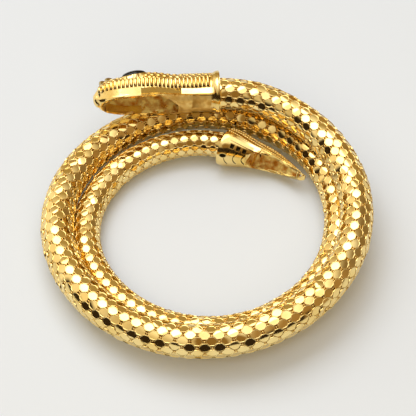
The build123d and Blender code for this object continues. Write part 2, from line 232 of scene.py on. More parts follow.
def between(rows, place, column):
    """A column's value at a place along a table, on a smooth curve through its rows."""
    places = [row[0] for row in rows]
    last = len(rows) - 1
    index = max(i for i in range(last) if places[i] <= place or i == 0)

    def slope(i):
        low, high = max(i - 1, 0), min(i + 1, last)
        return (rows[high][column] - rows[low][column]) / (places[high] - places[low])

    span = places[index + 1] - places[index]
    t = (place - places[index]) / span
    start, end = rows[index][column], rows[index + 1][column]
    rise = (2 * t**3 - 3 * t**2 + 1) * start + (3 * t**2 - 2 * t**3) * end
    lean = (t**3 - 2 * t**2 + t) * slope(index) + (t**3 - t**2) * slope(index + 1)
    return rise + lean * span


def tube_radius(turn):
    share = max(0.0, (turn - TAPER_START_TURN) / (TAPER_END_TURN - TAPER_START_TURN))
    return NECK_RADIUS + (TAIL_RADIUS - NECK_RADIUS) * share


def stacked(below, turn, climb, distance):
    """The row of a point that lies at a distance from the one a turn below it."""
    tilt = climb * math.pi / 2
    return (turn, below[1] + distance * math.cos(tilt), below[2] + distance * math.sin(tilt))


coil = []
cap_lift = CAP_MOUTH_RADIUS + CAP_FLOOR_GAP - tube_radius(LOWER_TURN[-1][0])
for turn, radius, neck_share, cap_share in LOWER_TURN:
    lift = neck_share * 2 * NECK_RADIUS + cap_share * cap_lift
    coil.append((turn, radius * INNER_RADIUS, tube_radius(turn) + lift))
for turn, climb, space in reversed(UPPER_TURN):
    below = coil[len(UPPER_TURN) - 1]
    radii = tube_radius(turn) + tube_radius(below[0])
    coil.insert(0, stacked(below, turn, climb, radii + space * TURN_GAP))
below = coil[len(UPPER_TURN) - 1]
coil.insert(0, stacked(below, 0.0, NECK_CLIMB, COLLAR_RADIUS + NECK_RADIUS + HEAD_LIFT))


def coil_point(turn):
    """A route point. It lies a little outside the coil, because the curve cuts its corners."""
    angle = 2 * math.pi * turn
    push = 1 / math.cos(math.pi * (LAST_VERTEX_TURN - FIRST_VERTEX_TURN) / (VERTEX_COUNT - 1))
    place = min(turn, coil[-1][0])
    radius = between(coil, place, 1) * push
    return Vector((radius * math.sin(angle), radius * math.cos(angle), between(coil, place, 2)))


# Where the head and the tail cap lie, as in the part's source. The head's own frame has X
# to its upper side, Y to its crown and Z to the snout. The cap's has X down and Z to the tip.
HEAD_YAW = math.radians(3.1)
HEAD_PITCH = math.radians(0.9)
HEAD_ROLL = math.radians(12.0)
COLLAR_X = 3.1
SOCKET_DEPTH = 7.5
CAP_HEADING = math.radians(-28.5)
CAP_ROLL = math.radians(-17.0)
CAP_BORE_DEPTH = 5.0
MOUTH_DISTANCE = 3.8
TUBE_END_HEADING = math.radians(-22.0)


def local_frame(origin, x_axis, z_axis):
    """The matrix that takes a piece's own millimetres to the bracelet's metres."""
    y_axis = z_axis.cross(x_axis)
    axes = Matrix((x_axis, y_axis, z_axis)).transposed()
    return Matrix.Scale(MM, 4) @ Matrix.Translation(origin) @ axes.to_4x4()


neck_vertex = coil_point(FIRST_VERTEX_TURN)
head_axis = Vector((
    -math.cos(HEAD_YAW) * math.cos(HEAD_PITCH),
    -math.sin(HEAD_YAW) * math.cos(HEAD_PITCH),
    math.sin(HEAD_PITCH),
))
level = -UP.cross(head_axis).normalized()
upright = -head_axis.cross(level)
head_side = upright * math.cos(HEAD_ROLL) - level * math.sin(HEAD_ROLL)
collar_distance = (neck_vertex.x - COLLAR_X) / -head_axis.x
head_frame = local_frame(neck_vertex + head_axis * collar_distance, head_side, head_axis)
socket_end = neck_vertex + head_axis * (collar_distance + SOCKET_DEPTH)

last_vertex = coil_point(LAST_VERTEX_TURN)
tube_direction = Vector((math.cos(TUBE_END_HEADING), math.sin(TUBE_END_HEADING), 0))
mouth = last_vertex + tube_direction * MOUTH_DISTANCE
cap_axis = Vector((math.cos(CAP_HEADING), math.sin(CAP_HEADING), 0))
outward = Vector((-math.sin(CAP_HEADING), math.cos(CAP_HEADING), 0))
cap_side = outward * math.sin(CAP_ROLL) - UP * math.cos(CAP_ROLL)
cap_frame = local_frame(mouth, cap_side, cap_axis)
tube_end = mouth + tube_direction * CAP_BORE_DEPTH


# The mesh sleeve, of small stamped and gold-plated brass plates with rolled rims. They lie
# in rows along the tube, each row half a plate behind the next, and a small round link
# joins each plate to the next in its row. The lining shows between them, its dark brown
# partly painted shade.
PLATE_ROWS = 16
PLATE_PITCH = 3.45
PLATE_HALF_LENGTH = 1.60
PLATE_HALF_WIDTH = 1.19
PLATE_SHOULDER = 0.66
PLATE_SHOULDER_INSET = 0.4
PLATE_CORNER = 0.15
PLATE_RIM = 0.24
PLATE_RIM_HEIGHT = 0.12
RIM_EDGE_SHARE = 0.35
RIM_CREST_SHARE = 0.45
PLATE_DOME = 0.065
PLATE_SKIRT = 0.30
PLATE_SKIRT_INSET = 0.06
PLATE_TILT = math.radians(5.0)
ROW_TURN = -1.12
ROWS_PER_TURN = 1.0
LINK_RADIUS = 0.27
LINK_SIDES = 8
LINK_SINK = 0.45
LINK_TIP = 0.57
LINK_RINGS = [
    # (width, height, both as shares of the link's radius)
    (1.0, -0.5),
    (0.86, 0.5),
    (0.5, 0.87),
]
LINING_DEPTH = 0.42
LINING_SIDES = 24
SLEEVE_DEPTH = 0.18
LINE_SAMPLES = 1600
TAPER_START_SHARE = 0.556


def plate_outline(inset):
    """A long hexagon with its corners cut off, as (x, y) points, drawn in by an inset."""
    half_length = PLATE_HALF_LENGTH - inset
    half_width = PLATE_HALF_WIDTH - inset
    shoulder = PLATE_SHOULDER - PLATE_SHOULDER_INSET * inset
    corners = [
        (half_length, 0), (shoulder, half_width), (-shoulder, half_width),
        (-half_length, 0), (-shoulder, -half_width), (shoulder, -half_width),
    ]
    points = []
    for before, corner, after in zip(corners[-1:] + corners[:-1], corners, corners[1:] + corners[:1]):
        for neighbour in (before, after):
            points.append((
                corner[0] + PLATE_CORNER * (neighbour[0] - corner[0]),
                corner[1] + PLATE_CORNER * (neighbour[1] - corner[1]),
            ))
    return points


def ring_of(shape, points, height):
    return [shape.verts.new((x * MM, y * MM, height * MM)) for x, y in points]


def bridge(shape, lower, upper):
    """Joins two rings of vertices with a band of smooth faces."""
    count = len(lower)
    for k in range(count):
        n = (k + 1) % count
        shape.faces.new((lower[k], lower[n], upper[n], upper[k])).smooth = True


def close_top(shape, rim, height, x=0.0):
    """Closes a ring of vertices with a low peak."""
    peak = shape.verts.new((x * MM, 0, height * MM))
    for k, vertex in enumerate(rim):
        shape.faces.new((vertex, rim[(k + 1) % len(rim)], peak)).smooth = True


def plate_mesh():
    """One plate with its rolled rim, slightly domed top and the link at its end."""
    shape = bmesh.new()
    skirt = ring_of(shape, plate_outline(PLATE_SKIRT_INSET), -PLATE_SKIRT)
    outside = ring_of(shape, plate_outline(0.0), PLATE_RIM_HEIGHT * RIM_EDGE_SHARE)
    crest = ring_of(shape, plate_outline(PLATE_RIM * RIM_CREST_SHARE), PLATE_RIM_HEIGHT)
    inside = ring_of(shape, plate_outline(PLATE_RIM), 0.0)
    bridge(shape, skirt, outside)
    bridge(shape, outside, crest)
    bridge(shape, crest, inside)
    close_top(shape, [shape.verts.new(vertex.co) for vertex in inside], PLATE_DOME)

    turns = [2 * math.pi * k / LINK_SIDES for k in range(LINK_SIDES)]
    rings = []
    for share, height in LINK_RINGS:
        points = [
            (PLATE_PITCH / 2 + LINK_RADIUS * share * math.cos(a), LINK_RADIUS * share * math.sin(a))
            for a in turns
        ]
        rings.append(ring_of(shape, points, LINK_RADIUS * (height - LINK_SINK)))
    bridge(shape, rings[0], rings[1])
    bridge(shape, rings[1], rings[2])
    close_top(shape, rings[2], LINK_RADIUS * LINK_TIP, PLATE_PITCH / 2)
    mesh = bpy.data.meshes.new("plate")
    shape.to_mesh(mesh)
    shape.free()
    return mesh


def gold_material(name, colour, shade, roughness, patch, grain=None, grain_strength=0.0):
    """Gold over brass, in two tones and unevenly smooth, in patches of a size in millimetres.

    A grain, in millimetres too, gives a cast surface its small dents. It is drawn coarser
    than the real one, or it wouldn't show.
    """
    material = bpy.data.materials.new(name)
    material.use_nodes = True
    tree = material.node_tree
    surface = tree.nodes["Principled BSDF"]
    surface.inputs["Metallic"].default_value = 1.0
    coords = add(tree, "ShaderNodeTexCoord").outputs["Object"]
    wear = add(
        tree, "ShaderNodeTexNoise", {"Vector": coords, "Scale": 1 / (patch * MM), "Detail": 4.0}
    ).outputs[0]
    worn = add(tree, "ShaderNodeMapRange", {"Value": wear, "From Min": 0.38, "From Max": 0.62})
    tones = {"Factor": worn.outputs[0], 6: linear(colour), 7: linear(shade)}
    tone = add(tree, "ShaderNodeMix", tones, data_type="RGBA")
    tree.links.new(tone.outputs[2], surface.inputs["Base Color"])
    smoothness = {
        "Value": wear, "From Min": 0.3, "From Max": 0.7,
        "To Min": roughness * SMOOTHEST, "To Max": roughness * ROUGHEST,
    }
    rough = add(tree, "ShaderNodeMapRange", smoothness)
    tree.links.new(rough.outputs[0], surface.inputs["Roughness"])
    if grain:
        pits = add(tree, "ShaderNodeTexNoise", {"Vector": coords, "Scale": 1 / (grain * MM), "Detail": 5.0})
        dents = {"Height": pits.outputs[0], "Strength": grain_strength, "Distance": GRAIN_DEPTH * MM}
        bump = add(tree, "ShaderNodeBump", dents)
        tree.links.new(bump.outputs[0], surface.inputs["Normal"])
    return material


# The plates are gold plate over polished brass, with hardly any wear: near mirrors, so each
# shows one side of the studio, white, gold or almost black. The lining is dull, because
# polish never reaches it. Its dark colour is partly a worn, darker gold and partly painted
# shade, the shade under and between the plates, and it makes the gaps between the plates deep brown.
PLATING_PATCH = 6.25
GRAIN_DEPTH = 0.2
SMOOTHEST, ROUGHEST = 0.7, 1.4
plate_gold = gold_material("mirror_gold_plate", "#FFE39A", "#F8D684", 0.07, patch=PLATING_PATCH)
# Painted shade: much of the lining's dark brown stands in for the shade under and between the plates.
lining_gold_with_painted_shade = gold_material(
    "dull_gold_lining_with_painted_shade", "#C08A30", "#6E4812", 0.34, patch=PLATING_PATCH, grain=0.4, grain_strength=0.6
)

plate = bpy.data.objects.new("plate", plate_mesh())
centre_line = bpy.data.curves.new("centre_line", "CURVE")
centre_line.dimensions = "3D"
centre_line.resolution_u = 24
spline = centre_line.splines.new("NURBS")
vertex_step = (LAST_VERTEX_TURN - FIRST_VERTEX_TURN) / (VERTEX_COUNT - 1)
route_turns = [FIRST_VERTEX_TURN + vertex_step * k for k in range(VERTEX_COUNT)]
route = [socket_end] + [coil_point(turn) for turn in route_turns] + [tube_end]
spline.points.add(len(route) - 1)
for control, point in zip(spline.points, route):
    control.co = (*(point * MM), 1.0)
spline.order_u = 3
spline.use_endpoint_u = True
line_length = sum(s.calc_length() for s in centre_line.splines)

# The Geometry Nodes tree that lays the plates: a point for each plate, by its row and its
# column along the centre line, with the plate turned to the tube's skin and tilted a little
# at random. The rows turn slowly round the tube. A lining tube closes the gaps.
sleeve = bpy.data.node_groups.new("mesh_sleeve", "GeometryNodeTree")
sleeve.is_modifier = True
for name, kind in [
    ("Centre line", "NodeSocketGeometry"), ("Plate", "NodeSocketObject"),
    ("First column", "NodeSocketInt"), ("Columns", "NodeSocketInt"), ("Rows", "NodeSocketInt"),
    ("Pitch", "NodeSocketFloat"), ("Neck radius", "NodeSocketFloat"),
    ("Taper start", "NodeSocketFloat"), ("Taper", "NodeSocketFloat"),
    ("Row turn", "NodeSocketFloat"), ("Twist", "NodeSocketFloat"), ("Plate tilt", "NodeSocketFloat"),
    ("Depth", "NodeSocketFloat"), ("Lining depth", "NodeSocketFloat"),
    ("Plate metal", "NodeSocketMaterial"), ("Lining metal", "NodeSocketMaterial"),
]:
    sleeve.interface.new_socket(name, in_out="INPUT", socket_type=kind)
sleeve.interface.new_socket("Sleeve", in_out="OUTPUT", socket_type="NodeSocketGeometry")
given = add(sleeve, "NodeGroupInput").outputs
taper_begins = given["Taper start"]
neck_radius = given["Neck radius"]
sampling = {"Curve": given["Centre line"], "Count": LINE_SAMPLES}
curve = add(sleeve, "GeometryNodeResampleCurve", sampling, mode="COUNT").outputs[0]
curve = add(sleeve, "GeometryNodeSetCurveNormal", {"Curve": curve}, mode="Z_UP").outputs[0]


def past_taper_start(length):
    """How far a length along the line is past the start of the taper, or 0 before it."""
    past = add(sleeve, "ShaderNodeMath", {0: length, 1: taper_begins}, operation="SUBTRACT").outputs[0]
    return add(sleeve, "ShaderNodeMath", {0: past, 1: 0.0}, operation="MAXIMUM").outputs[0]


def length_at(column):
    """Where a column of plates lies: the pitch shrinks with the tube once it tapers."""
    even = add(sleeve, "ShaderNodeMath", {0: column, 1: given["Pitch"]}, operation="MULTIPLY").outputs[0]
    past = past_taper_start(even)
    rate = add(sleeve, "ShaderNodeMath", {0: given["Taper"], 1: neck_radius}, operation="DIVIDE").outputs[0]
    power = add(sleeve, "ShaderNodeMath", {0: past, 1: rate}, operation="MULTIPLY").outputs[0]
    power = add(sleeve, "ShaderNodeMath", {0: power, 1: -1.0}, operation="MULTIPLY").outputs[0]
    shrunk = add(sleeve, "ShaderNodeMath", {0: power}, operation="EXPONENT").outputs[0]
    grown = add(sleeve, "ShaderNodeMath", {0: 1.0, 1: shrunk}, operation="SUBTRACT").outputs[0]
    tapered = add(sleeve, "ShaderNodeMath", {0: grown, 1: rate}, operation="DIVIDE").outputs[0]
    before = add(sleeve, "ShaderNodeMath", {0: even, 1: taper_begins}, operation="MINIMUM").outputs[0]
    return add(sleeve, "ShaderNodeMath", {0: before, 1: tapered}, operation="ADD").outputs[0]


def radius_at(length):
    past = past_taper_start(length)
    loss = add(sleeve, "ShaderNodeMath", {0: past, 1: given["Taper"]}, operation="MULTIPLY").outputs[0]
    return add(sleeve, "ShaderNodeMath", {0: neck_radius, 1: loss}, operation="SUBTRACT").outputs[0]


index = add(sleeve, "GeometryNodeInputIndex").outputs[0]
row = add(sleeve, "ShaderNodeMath", {0: index, 1: given["Rows"]}, operation="MODULO").outputs[0]
column = add(sleeve, "ShaderNodeMath", {0: index, 1: given["Rows"]}, operation="DIVIDE").outputs[0]
column = add(sleeve, "ShaderNodeMath", {0: column}, operation="FLOOR").outputs[0]
column = add(sleeve, "ShaderNodeMath", {0: column, 1: given["First column"]}, operation="ADD").outputs[0]
odd = add(sleeve, "ShaderNodeMath", {0: row, 1: 2.0}, operation="MODULO").outputs[0]
stagger = add(sleeve, "ShaderNodeMath", {0: odd, 1: 0.5, 2: column}, operation="MULTIPLY_ADD").outputs[0]
length = length_at(stagger)
sample = add(sleeve, "GeometryNodeSampleCurve", {"Curves": curve, "Length": length}, mode="LENGTH").outputs
turning = {0: length, 1: given["Twist"], 2: given["Row turn"]}
twist = add(sleeve, "ShaderNodeMath", turning, operation="MULTIPLY_ADD").outputs[0]
around = add(sleeve, "ShaderNodeMath", {0: row, 1: twist}, operation="ADD").outputs[0]
around = add(sleeve, "ShaderNodeMath", {0: around, 1: given["Rows"]}, operation="DIVIDE").outputs[0]
around = add(sleeve, "ShaderNodeMath", {0: around, 1: 2 * math.pi}, operation="MULTIPLY").outputs[0]
radial = add(
    sleeve, "ShaderNodeVectorRotate",
    {"Vector": sample["Normal"], "Axis": sample["Tangent"], "Angle": around}, rotation_type="AXIS_ANGLE",
).outputs[0]
radius = radius_at(length)
reach = add(sleeve, "ShaderNodeMath", {0: radius, 1: given["Depth"]}, operation="SUBTRACT").outputs[0]
offset = add(sleeve, "ShaderNodeVectorMath", {0: radial, "Scale": reach}, operation="SCALE").outputs[0]
place = add(sleeve, "ShaderNodeVectorMath", {0: sample["Position"], 1: offset}, operation="ADD").outputs[0]
grid = {0: given["Columns"], 1: given["Rows"]}
count = add(sleeve, "ShaderNodeMath", grid, operation="MULTIPLY").outputs[0]
points = add(sleeve, "GeometryNodePoints", {"Count": count, "Position": place}).outputs[0]

# Each plate is turned with its top outward and its length along the tube. It tips up to the
# plate tilt each way, and turns up to 0.6 of that in its own plane.
turned = add(
    sleeve, "FunctionNodeAxesToRotation",
    {"Primary Axis": radial, "Secondary Axis": sample["Tangent"]}, primary_axis="Z", secondary_axis="X",
).outputs[0]
tilt = add(
    sleeve, "FunctionNodeRandomValue", {0: (-1.0, -1.0, -0.6), 1: (1.0, 1.0, 0.6), "Seed": 7},
    data_type="FLOAT_VECTOR",
).outputs[0]
most_tilt = given["Plate tilt"]
tilt = add(sleeve, "ShaderNodeVectorMath", {0: tilt, "Scale": most_tilt}, operation="SCALE").outputs[0]
tilt = add(sleeve, "FunctionNodeEulerToRotation", {0: tilt}).outputs[0]
turned = add(sleeve, "FunctionNodeRotateRotation", {0: turned, 1: tilt}, rotation_space="LOCAL").outputs[0]

# It shrinks with the tube, and it is longer on the outer side of the bend than on the inner.
reaches = []
for position in (place, sample["Position"]):
    flat = add(sleeve, "ShaderNodeVectorMath", {0: position, 1: (1.0, 1.0, 0.0)}, operation="MULTIPLY")
    flat_reach = add(sleeve, "ShaderNodeVectorMath", {0: flat.outputs[0]}, operation="LENGTH")
    reaches.append(flat_reach.outputs["Value"])
stretch = add(sleeve, "ShaderNodeMath", {0: reaches[0], 1: reaches[1]}, operation="DIVIDE").outputs[0]
size = add(sleeve, "ShaderNodeMath", {0: radius, 1: neck_radius}, operation="DIVIDE").outputs[0]
long_size = add(sleeve, "ShaderNodeMath", {0: size, 1: stretch}, operation="MULTIPLY").outputs[0]
sizes = add(sleeve, "ShaderNodeCombineXYZ", {"X": long_size, "Y": size, "Z": size}).outputs[0]
plate_shape = add(sleeve, "GeometryNodeObjectInfo", {"Object": given["Plate"]}).outputs["Geometry"]
plates = add(
    sleeve, "GeometryNodeInstanceOnPoints",
    {"Points": points, "Instance": plate_shape, "Rotation": turned, "Scale": sizes},
).outputs[0]
plates = add(sleeve, "GeometryNodeRealizeInstances", {0: plates}).outputs[0]
plates = add(sleeve, "GeometryNodeSetMaterial", {0: plates, "Material": given["Plate metal"]}).outputs[0]

first = length_at(given["First column"])
ends = {0: given["First column"], 1: given["Columns"]}
past_last = add(sleeve, "ShaderNodeMath", ends, operation="ADD").outputs[0]
own_line = add(
    sleeve, "GeometryNodeTrimCurve", {"Curve": curve, 4: first, 5: length_at(past_last)}, mode="LENGTH"
).outputs[0]
along = add(sleeve, "GeometryNodeSplineParameter").outputs["Length"]
along = add(sleeve, "ShaderNodeMath", {0: along, 1: first}, operation="ADD").outputs[0]
depths = {0: radius_at(along), 1: given["Lining depth"]}
lining_radius = add(sleeve, "ShaderNodeMath", depths, operation="SUBTRACT").outputs[0]
profile = add(
    sleeve, "GeometryNodeCurvePrimitiveCircle", {"Resolution": LINING_SIDES, "Radius": 1.0}
).outputs[0]
lining = add(
    sleeve, "GeometryNodeCurveToMesh",
    {"Curve": own_line, "Profile Curve": profile, "Scale": lining_radius, "Fill Caps": True},
).outputs[0]
lining = add(sleeve, "GeometryNodeSetMaterial", {0: lining, "Material": given["Lining metal"]}).outputs[0]
joined = add(sleeve, "GeometryNodeJoinGeometry")
sleeve.links.new(lining, joined.inputs[0])
sleeve.links.new(plates, joined.inputs[0])
add(sleeve, "NodeGroupOutput", {0: joined.outputs[0]})

taper_start = line_length * TAPER_START_SHARE
taper_length = line_length - taper_start
taper = (NECK_RADIUS - TAIL_RADIUS) * MM / taper_length
shrink_rate = taper / (NECK_RADIUS * MM)
tail_reach = -math.log(1 - shrink_rate * taper_length) / shrink_rate
upper_columns = round(taper_start / (PLATE_PITCH * MM))
all_columns = int((taper_start + tail_reach) / (PLATE_PITCH * MM)) - 1


def sleeve_piece(name, node_name, first_column, columns):
    """A stretch of the sleeve as a plain mesh, in the place of its solid."""
    line = bpy.data.objects.new(name + "_line", centre_line)
    bpy.context.scene.collection.objects.link(line)
    modifier = line.modifiers.new("sleeve", "NODES")
    modifier.node_group = sleeve
    values = {
        "Plate": plate, "First column": first_column, "Columns": columns, "Rows": PLATE_ROWS,
        "Pitch": PLATE_PITCH * MM, "Neck radius": NECK_RADIUS * MM, "Taper start": taper_start,
        "Taper": taper, "Row turn": ROW_TURN, "Twist": ROWS_PER_TURN * LAST_VERTEX_TURN / line_length,
        "Plate tilt": PLATE_TILT, "Depth": SLEEVE_DEPTH * MM, "Lining depth": LINING_DEPTH * MM,
        "Plate metal": plate_gold, "Lining metal": lining_gold_with_painted_shade,
    }
    for item in sleeve.interface.items_tree:
        if item.in_out == "INPUT" and item.name in values:
            modifier[item.identifier] = values[item.name]
    graph = bpy.context.evaluated_depsgraph_get()
    mesh = bpy.data.meshes.new_from_object(line.evaluated_get(graph))
    bpy.data.objects.remove(line)
    piece = new_object(name, mesh)
    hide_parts(node_name)
    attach(piece, "root")


sleeve_piece("mesh_sleeve_upper", "body_upper", 0, upper_columns)
sleeve_piece("mesh_sleeve_lower", "body_lower", upper_columns, all_columns - upper_columns)


# The cast head and the tail cap, of gold-plated brass: their solids from the source, with
# the cast relief on their skins and the rough inner walls of the hollows. Lengths are in
# millimetres. A face that leans inward enough is an inner wall, and OUTSIDE_ALL lies
# further from a casting's axis than any of its skin.
# The third index takes the cap's near-black paint: a painted dark reflection and painted shade.
SKIN_FACES, INNER_FACES, PAINTED_DARK_FACES, UNDERSIDE_FACES = 0, 1, 2, 3
WELD_DISTANCE = 0.002
INWARD_LEAN = -0.25
OUTSIDE_ALL = 14
SHARP_EDGE = math.radians(38)
SPLIT_PASSES = 5
WALL_DEPTH = 0.34
COARSE_WAVES = 0.55
FINE_WAVES = 1.9
FINE_SHARE = 0.6
RING_SIDES = 8
RING_SEGMENTS = 72
CAST_GRAIN = 1.4

# The polished skin is a bright mirror, a little uneven from the casting.
cast_gold = gold_material(
    "polished_cast_gold", "#FCE09A", "#F0CC74", 0.14,
    patch=PLATING_PATCH, grain=CAST_GRAIN, grain_strength=0.16,
)

# The hollows are as they left the mould. Their raw skin scatters more light than it
# mirrors, so they look orange, streaked and grainy.
rough_gold = gold_material(
    "rough_cast_gold", "#FFF0A0", "#C07E22", 0.24, patch=1.9, grain=CAST_GRAIN, grain_strength=1.0
)
rough_gold.node_tree.nodes["Principled BSDF"].inputs["Metallic"].default_value = 0.2

# The cap's small facets, its dimple's floor and its thin ridges are painted near black and
# glossy: on the facets a painted dark reflection, in the dimple and along the ridges painted shade.
painted_dark_gold = gold_material("painted_dark_reflection_and_shade_gold", "#2E2410", "#1C150A", 0.22, patch=PLATING_PATCH)

# The underside of the head's barrel is plated but not polished: satin, with no clear mirror.
satin_gold = gold_material(
    "satin_cast_gold", "#FCDC8A", "#DCAC50", 0.44, patch=2.3, grain=CAST_GRAIN, grain_strength=0.9
)
satin_gold.node_tree.nodes["Principled BSDF"].inputs["Metallic"].default_value = 0.6


def cast_shape(node_name, place):
    """A solid's mesh in its own millimetres, with welded corners and marked inner walls."""
    shape = bmesh.new()
    shape.from_mesh(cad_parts[node_name].data)
    bmesh.ops.transform(shape, matrix=place.inverted(), verts=shape.verts)
    bmesh.ops.remove_doubles(shape, verts=shape.verts, dist=WELD_DISTANCE)
    shape.normal_update()
    for face in shape.faces:
        middle = face.calc_center_median()
        outward = Vector((middle.x, middle.y, 0))
        face.smooth = True
        face.material_index = SKIN_FACES
        if face.normal.dot(outward) < INWARD_LEAN * outward.length:
            face.material_index = INNER_FACES
    return shape


def band(shape, rows):
    """A raised band along a piece: each row is a station and the corners of its section."""
    bars = [[shape.verts.new((x, y, station)) for x, y in corners] for station, corners in rows]
    faces = [shape.faces.new(bars[0]), shape.faces.new(bars[-1])]
    for before, after in zip(bars, bars[1:]):
        for m in range(len(before)):
            n = (m + 1) % len(before)
            faces.append(shape.faces.new((before[m], before[n], after[n], after[m])))
    for face in faces:
        face.smooth = True
        face.material_index = SKIN_FACES
    bmesh.ops.recalc_face_normals(shape, faces=faces)


def roughen(shape, longest):
    """Splits the inner walls finely and gives them the uneven surface of a raw casting."""
    for _ in range(SPLIT_PASSES):
        inner = [face for face in shape.faces if face.material_index == INNER_FACES]
        edges = {edge for face in inner for edge in face.edges if edge.calc_length() > longest}
        if not edges:
            break
        bmesh.ops.subdivide_edges(shape, edges=list(edges), cuts=1)
        bmesh.ops.triangulate(shape, faces=[face for face in shape.faces if len(face.verts) > 4])
    shape.normal_update()
    for vertex in shape.verts:
        if all(face.material_index == INNER_FACES for face in vertex.link_faces):
            coarse = noise.noise(vertex.co * COARSE_WAVES)
            fine = noise.noise(vertex.co * FINE_WAVES)
            vertex.co += vertex.normal * WALL_DEPTH * (coarse + FINE_SHARE * fine)


def lump(shape, place, across, along, out, subdivisions=2, kind=SKIN_FACES):
    """A smooth cast lump whose middle lies at a place, with its three half sizes."""
    matrix = place @ Matrix.Diagonal((across, along, out, 1.0))
    made = bmesh.ops.create_icosphere(shape, subdivisions=subdivisions, radius=1.0, matrix=matrix)
    for face in {face for vertex in made["verts"] for face in vertex.link_faces}:
        face.smooth = True
        face.material_index = kind
    return made["verts"]


def ring(shape, station, radius, thickness):
    """A rounded ring round a piece's own axis."""
    loops = []
    for k in range(RING_SEGMENTS):
        turn = 2 * math.pi * k / RING_SEGMENTS
        spoke = Vector((math.cos(turn), math.sin(turn), 0))
        middle = Vector((spoke.x * radius, spoke.y * radius, station))
        loop = []
        for m in range(RING_SIDES):
            lean = 2 * math.pi * m / RING_SIDES
            offset = spoke * math.cos(lean) + UP * math.sin(lean)
            loop.append(shape.verts.new(middle + offset * thickness))
        loops.append(loop)
    faces = []
    for k in range(RING_SEGMENTS):
        this, following = loops[k], loops[(k + 1) % RING_SEGMENTS]
        for m in range(RING_SIDES):
            n = (m + 1) % RING_SIDES
            faces.append(shape.faces.new((this[m], following[m], following[n], this[n])))
    for face in faces:
        face.smooth = True
    bmesh.ops.recalc_face_normals(shape, faces=faces)


def skin_place(skin, station, angle, sink=0.0):
    """The place on the skin at an angle from local X, with Z out of the skin and Y along."""
    spoke = Vector((math.cos(angle), math.sin(angle), 0))
    hit, normal, _, _ = skin.ray_cast(Vector((0, 0, station)) + spoke * OUTSIDE_ALL, -spoke)
    along = UP - normal * normal.z
    along.normalize()
    axes = Matrix((along.cross(normal), along, normal)).transposed()
    return Matrix.Translation(hit - normal * sink) @ axes.to_4x4()


def finish_casting(shape, name, node_name, place):
    """The finished casting as an object in the place of its solid."""
    bmesh.ops.transform(shape, matrix=place, verts=shape.verts)
    mesh = bpy.data.meshes.new(name)
    shape.to_mesh(mesh)
    shape.free()
    for metal in (cast_gold, rough_gold, painted_dark_gold, satin_gold):
        mesh.materials.append(metal)
    mesh.set_sharp_from_angle(angle=SHARP_EDGE)
    piece = new_object(name, mesh)
    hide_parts(node_name)
    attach(piece, "root")


def stone_middle(node_name, place):
    corners = [place.inverted() @ Vector(vertex.co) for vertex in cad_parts[node_name].data.vertices]
    return sum(corners, Vector()) / len(corners)


# The head's relief, cast in one with it: pebbled scales on the crown, a full round top to
# each rib, three flat polished facets along each jaw, the rings of the collar and the
# rounded tip of the nose. The stones' settings are kept free of scales.
HEAD_LENGTH = 34.8
HEAD_TOP = 4.6
HEAD_WALL_STEP = 0.6
UNDERSIDE_START = 2.5
UNDERSIDE_END = 17.5
RIM_REAR = 3.2
RIM_FRONT = 3.8
RIM_SLOPE_START = 16.2
STONE_CLEARANCE = {
    # stone: (clear space across, clear space along)
    "eye_left": (2.5, 4.0),
    "eye_right": (2.5, 4.0),
    "nose_stone_back": (1.5, 1.5),
    "nose_stone_front": (1.3, 1.3),
}

head = cast_shape("head", head_frame)
head_skin = BVHTree.FromBMesh(head)
for face in head.faces:
    middle = face.calc_center_median()
    outside = face.material_index == SKIN_FACES
    if outside and middle.y < -RIM_REAR and UNDERSIDE_START < middle.z < UNDERSIDE_END:
        face.material_index = UNDERSIDE_FACES
roughen(head, HEAD_WALL_STEP)
stones = {name: stone_middle(name, head_frame) for name in STONE_CLEARANCE}


def meets_a_stone(point):
    for name, (across, along) in STONE_CLEARANCE.items():
        away = point - stones[name]
        if (away.xy.length / across) ** 2 + (away.z / along) ** 2 < 1:
            return True
    return False


SCALE_SPACING = 1.75
SCALE_RADIUS = 0.84
SCALE_HEIGHT = 0.36
SCALE_START = 2.6
SCALE_SNOUT = 1.6
SCALE_NESTING = 0.87
SCALED_ARC = math.radians(128)
CROWN_RADIUS = 5.2

angle_step = SCALE_SPACING * SCALE_NESTING / CROWN_RADIUS
scale_rows = int(SCALED_ARC / angle_step)
for row in range(scale_rows + 1):
    angle = math.pi / 2 + (row - scale_rows / 2) * angle_step
    station = SCALE_START + (row % 2) * SCALE_SPACING / 2
    while station < HEAD_LENGTH - SCALE_SNOUT:
        place = skin_place(head_skin, station, angle)
        if not meets_a_stone(place.translation):
            lump(head, place, SCALE_RADIUS, SCALE_RADIUS, SCALE_HEIGHT)
        station += SCALE_SPACING


def head_side_point(hand, height, station):
    """The point of the skin at a height and a station, on one side of the head."""
    start = Vector((OUTSIDE_ALL * hand, height, station))
    return head_skin.ray_cast(start, Vector((-hand, 0, 0)))[0]


RIB_COUNT = 28
RIB_FIRST = 3.2
RIB_SNOUT = 1.8
RIB_MIDDLE = 0.66
RIB_SINK = 0.22
RIB_HALF_WIDTH = 0.55
RIB_REACH = 0.58
RIB_HALF_DEPTH = 0.46
RIB_FOOT_WIDTH = 0.5
RIB_ENDS = [
    # (station share, lower end, upper end, both as shares of the top)
    (0.05, -0.26, 0.48),
    (0.30, -0.29, 0.35),
    (0.52, -0.15, 0.42),
    (0.72, -0.20, 0.39),
    (0.84, -0.21, 0.38),
    (0.95, -0.14, 0.24),
]

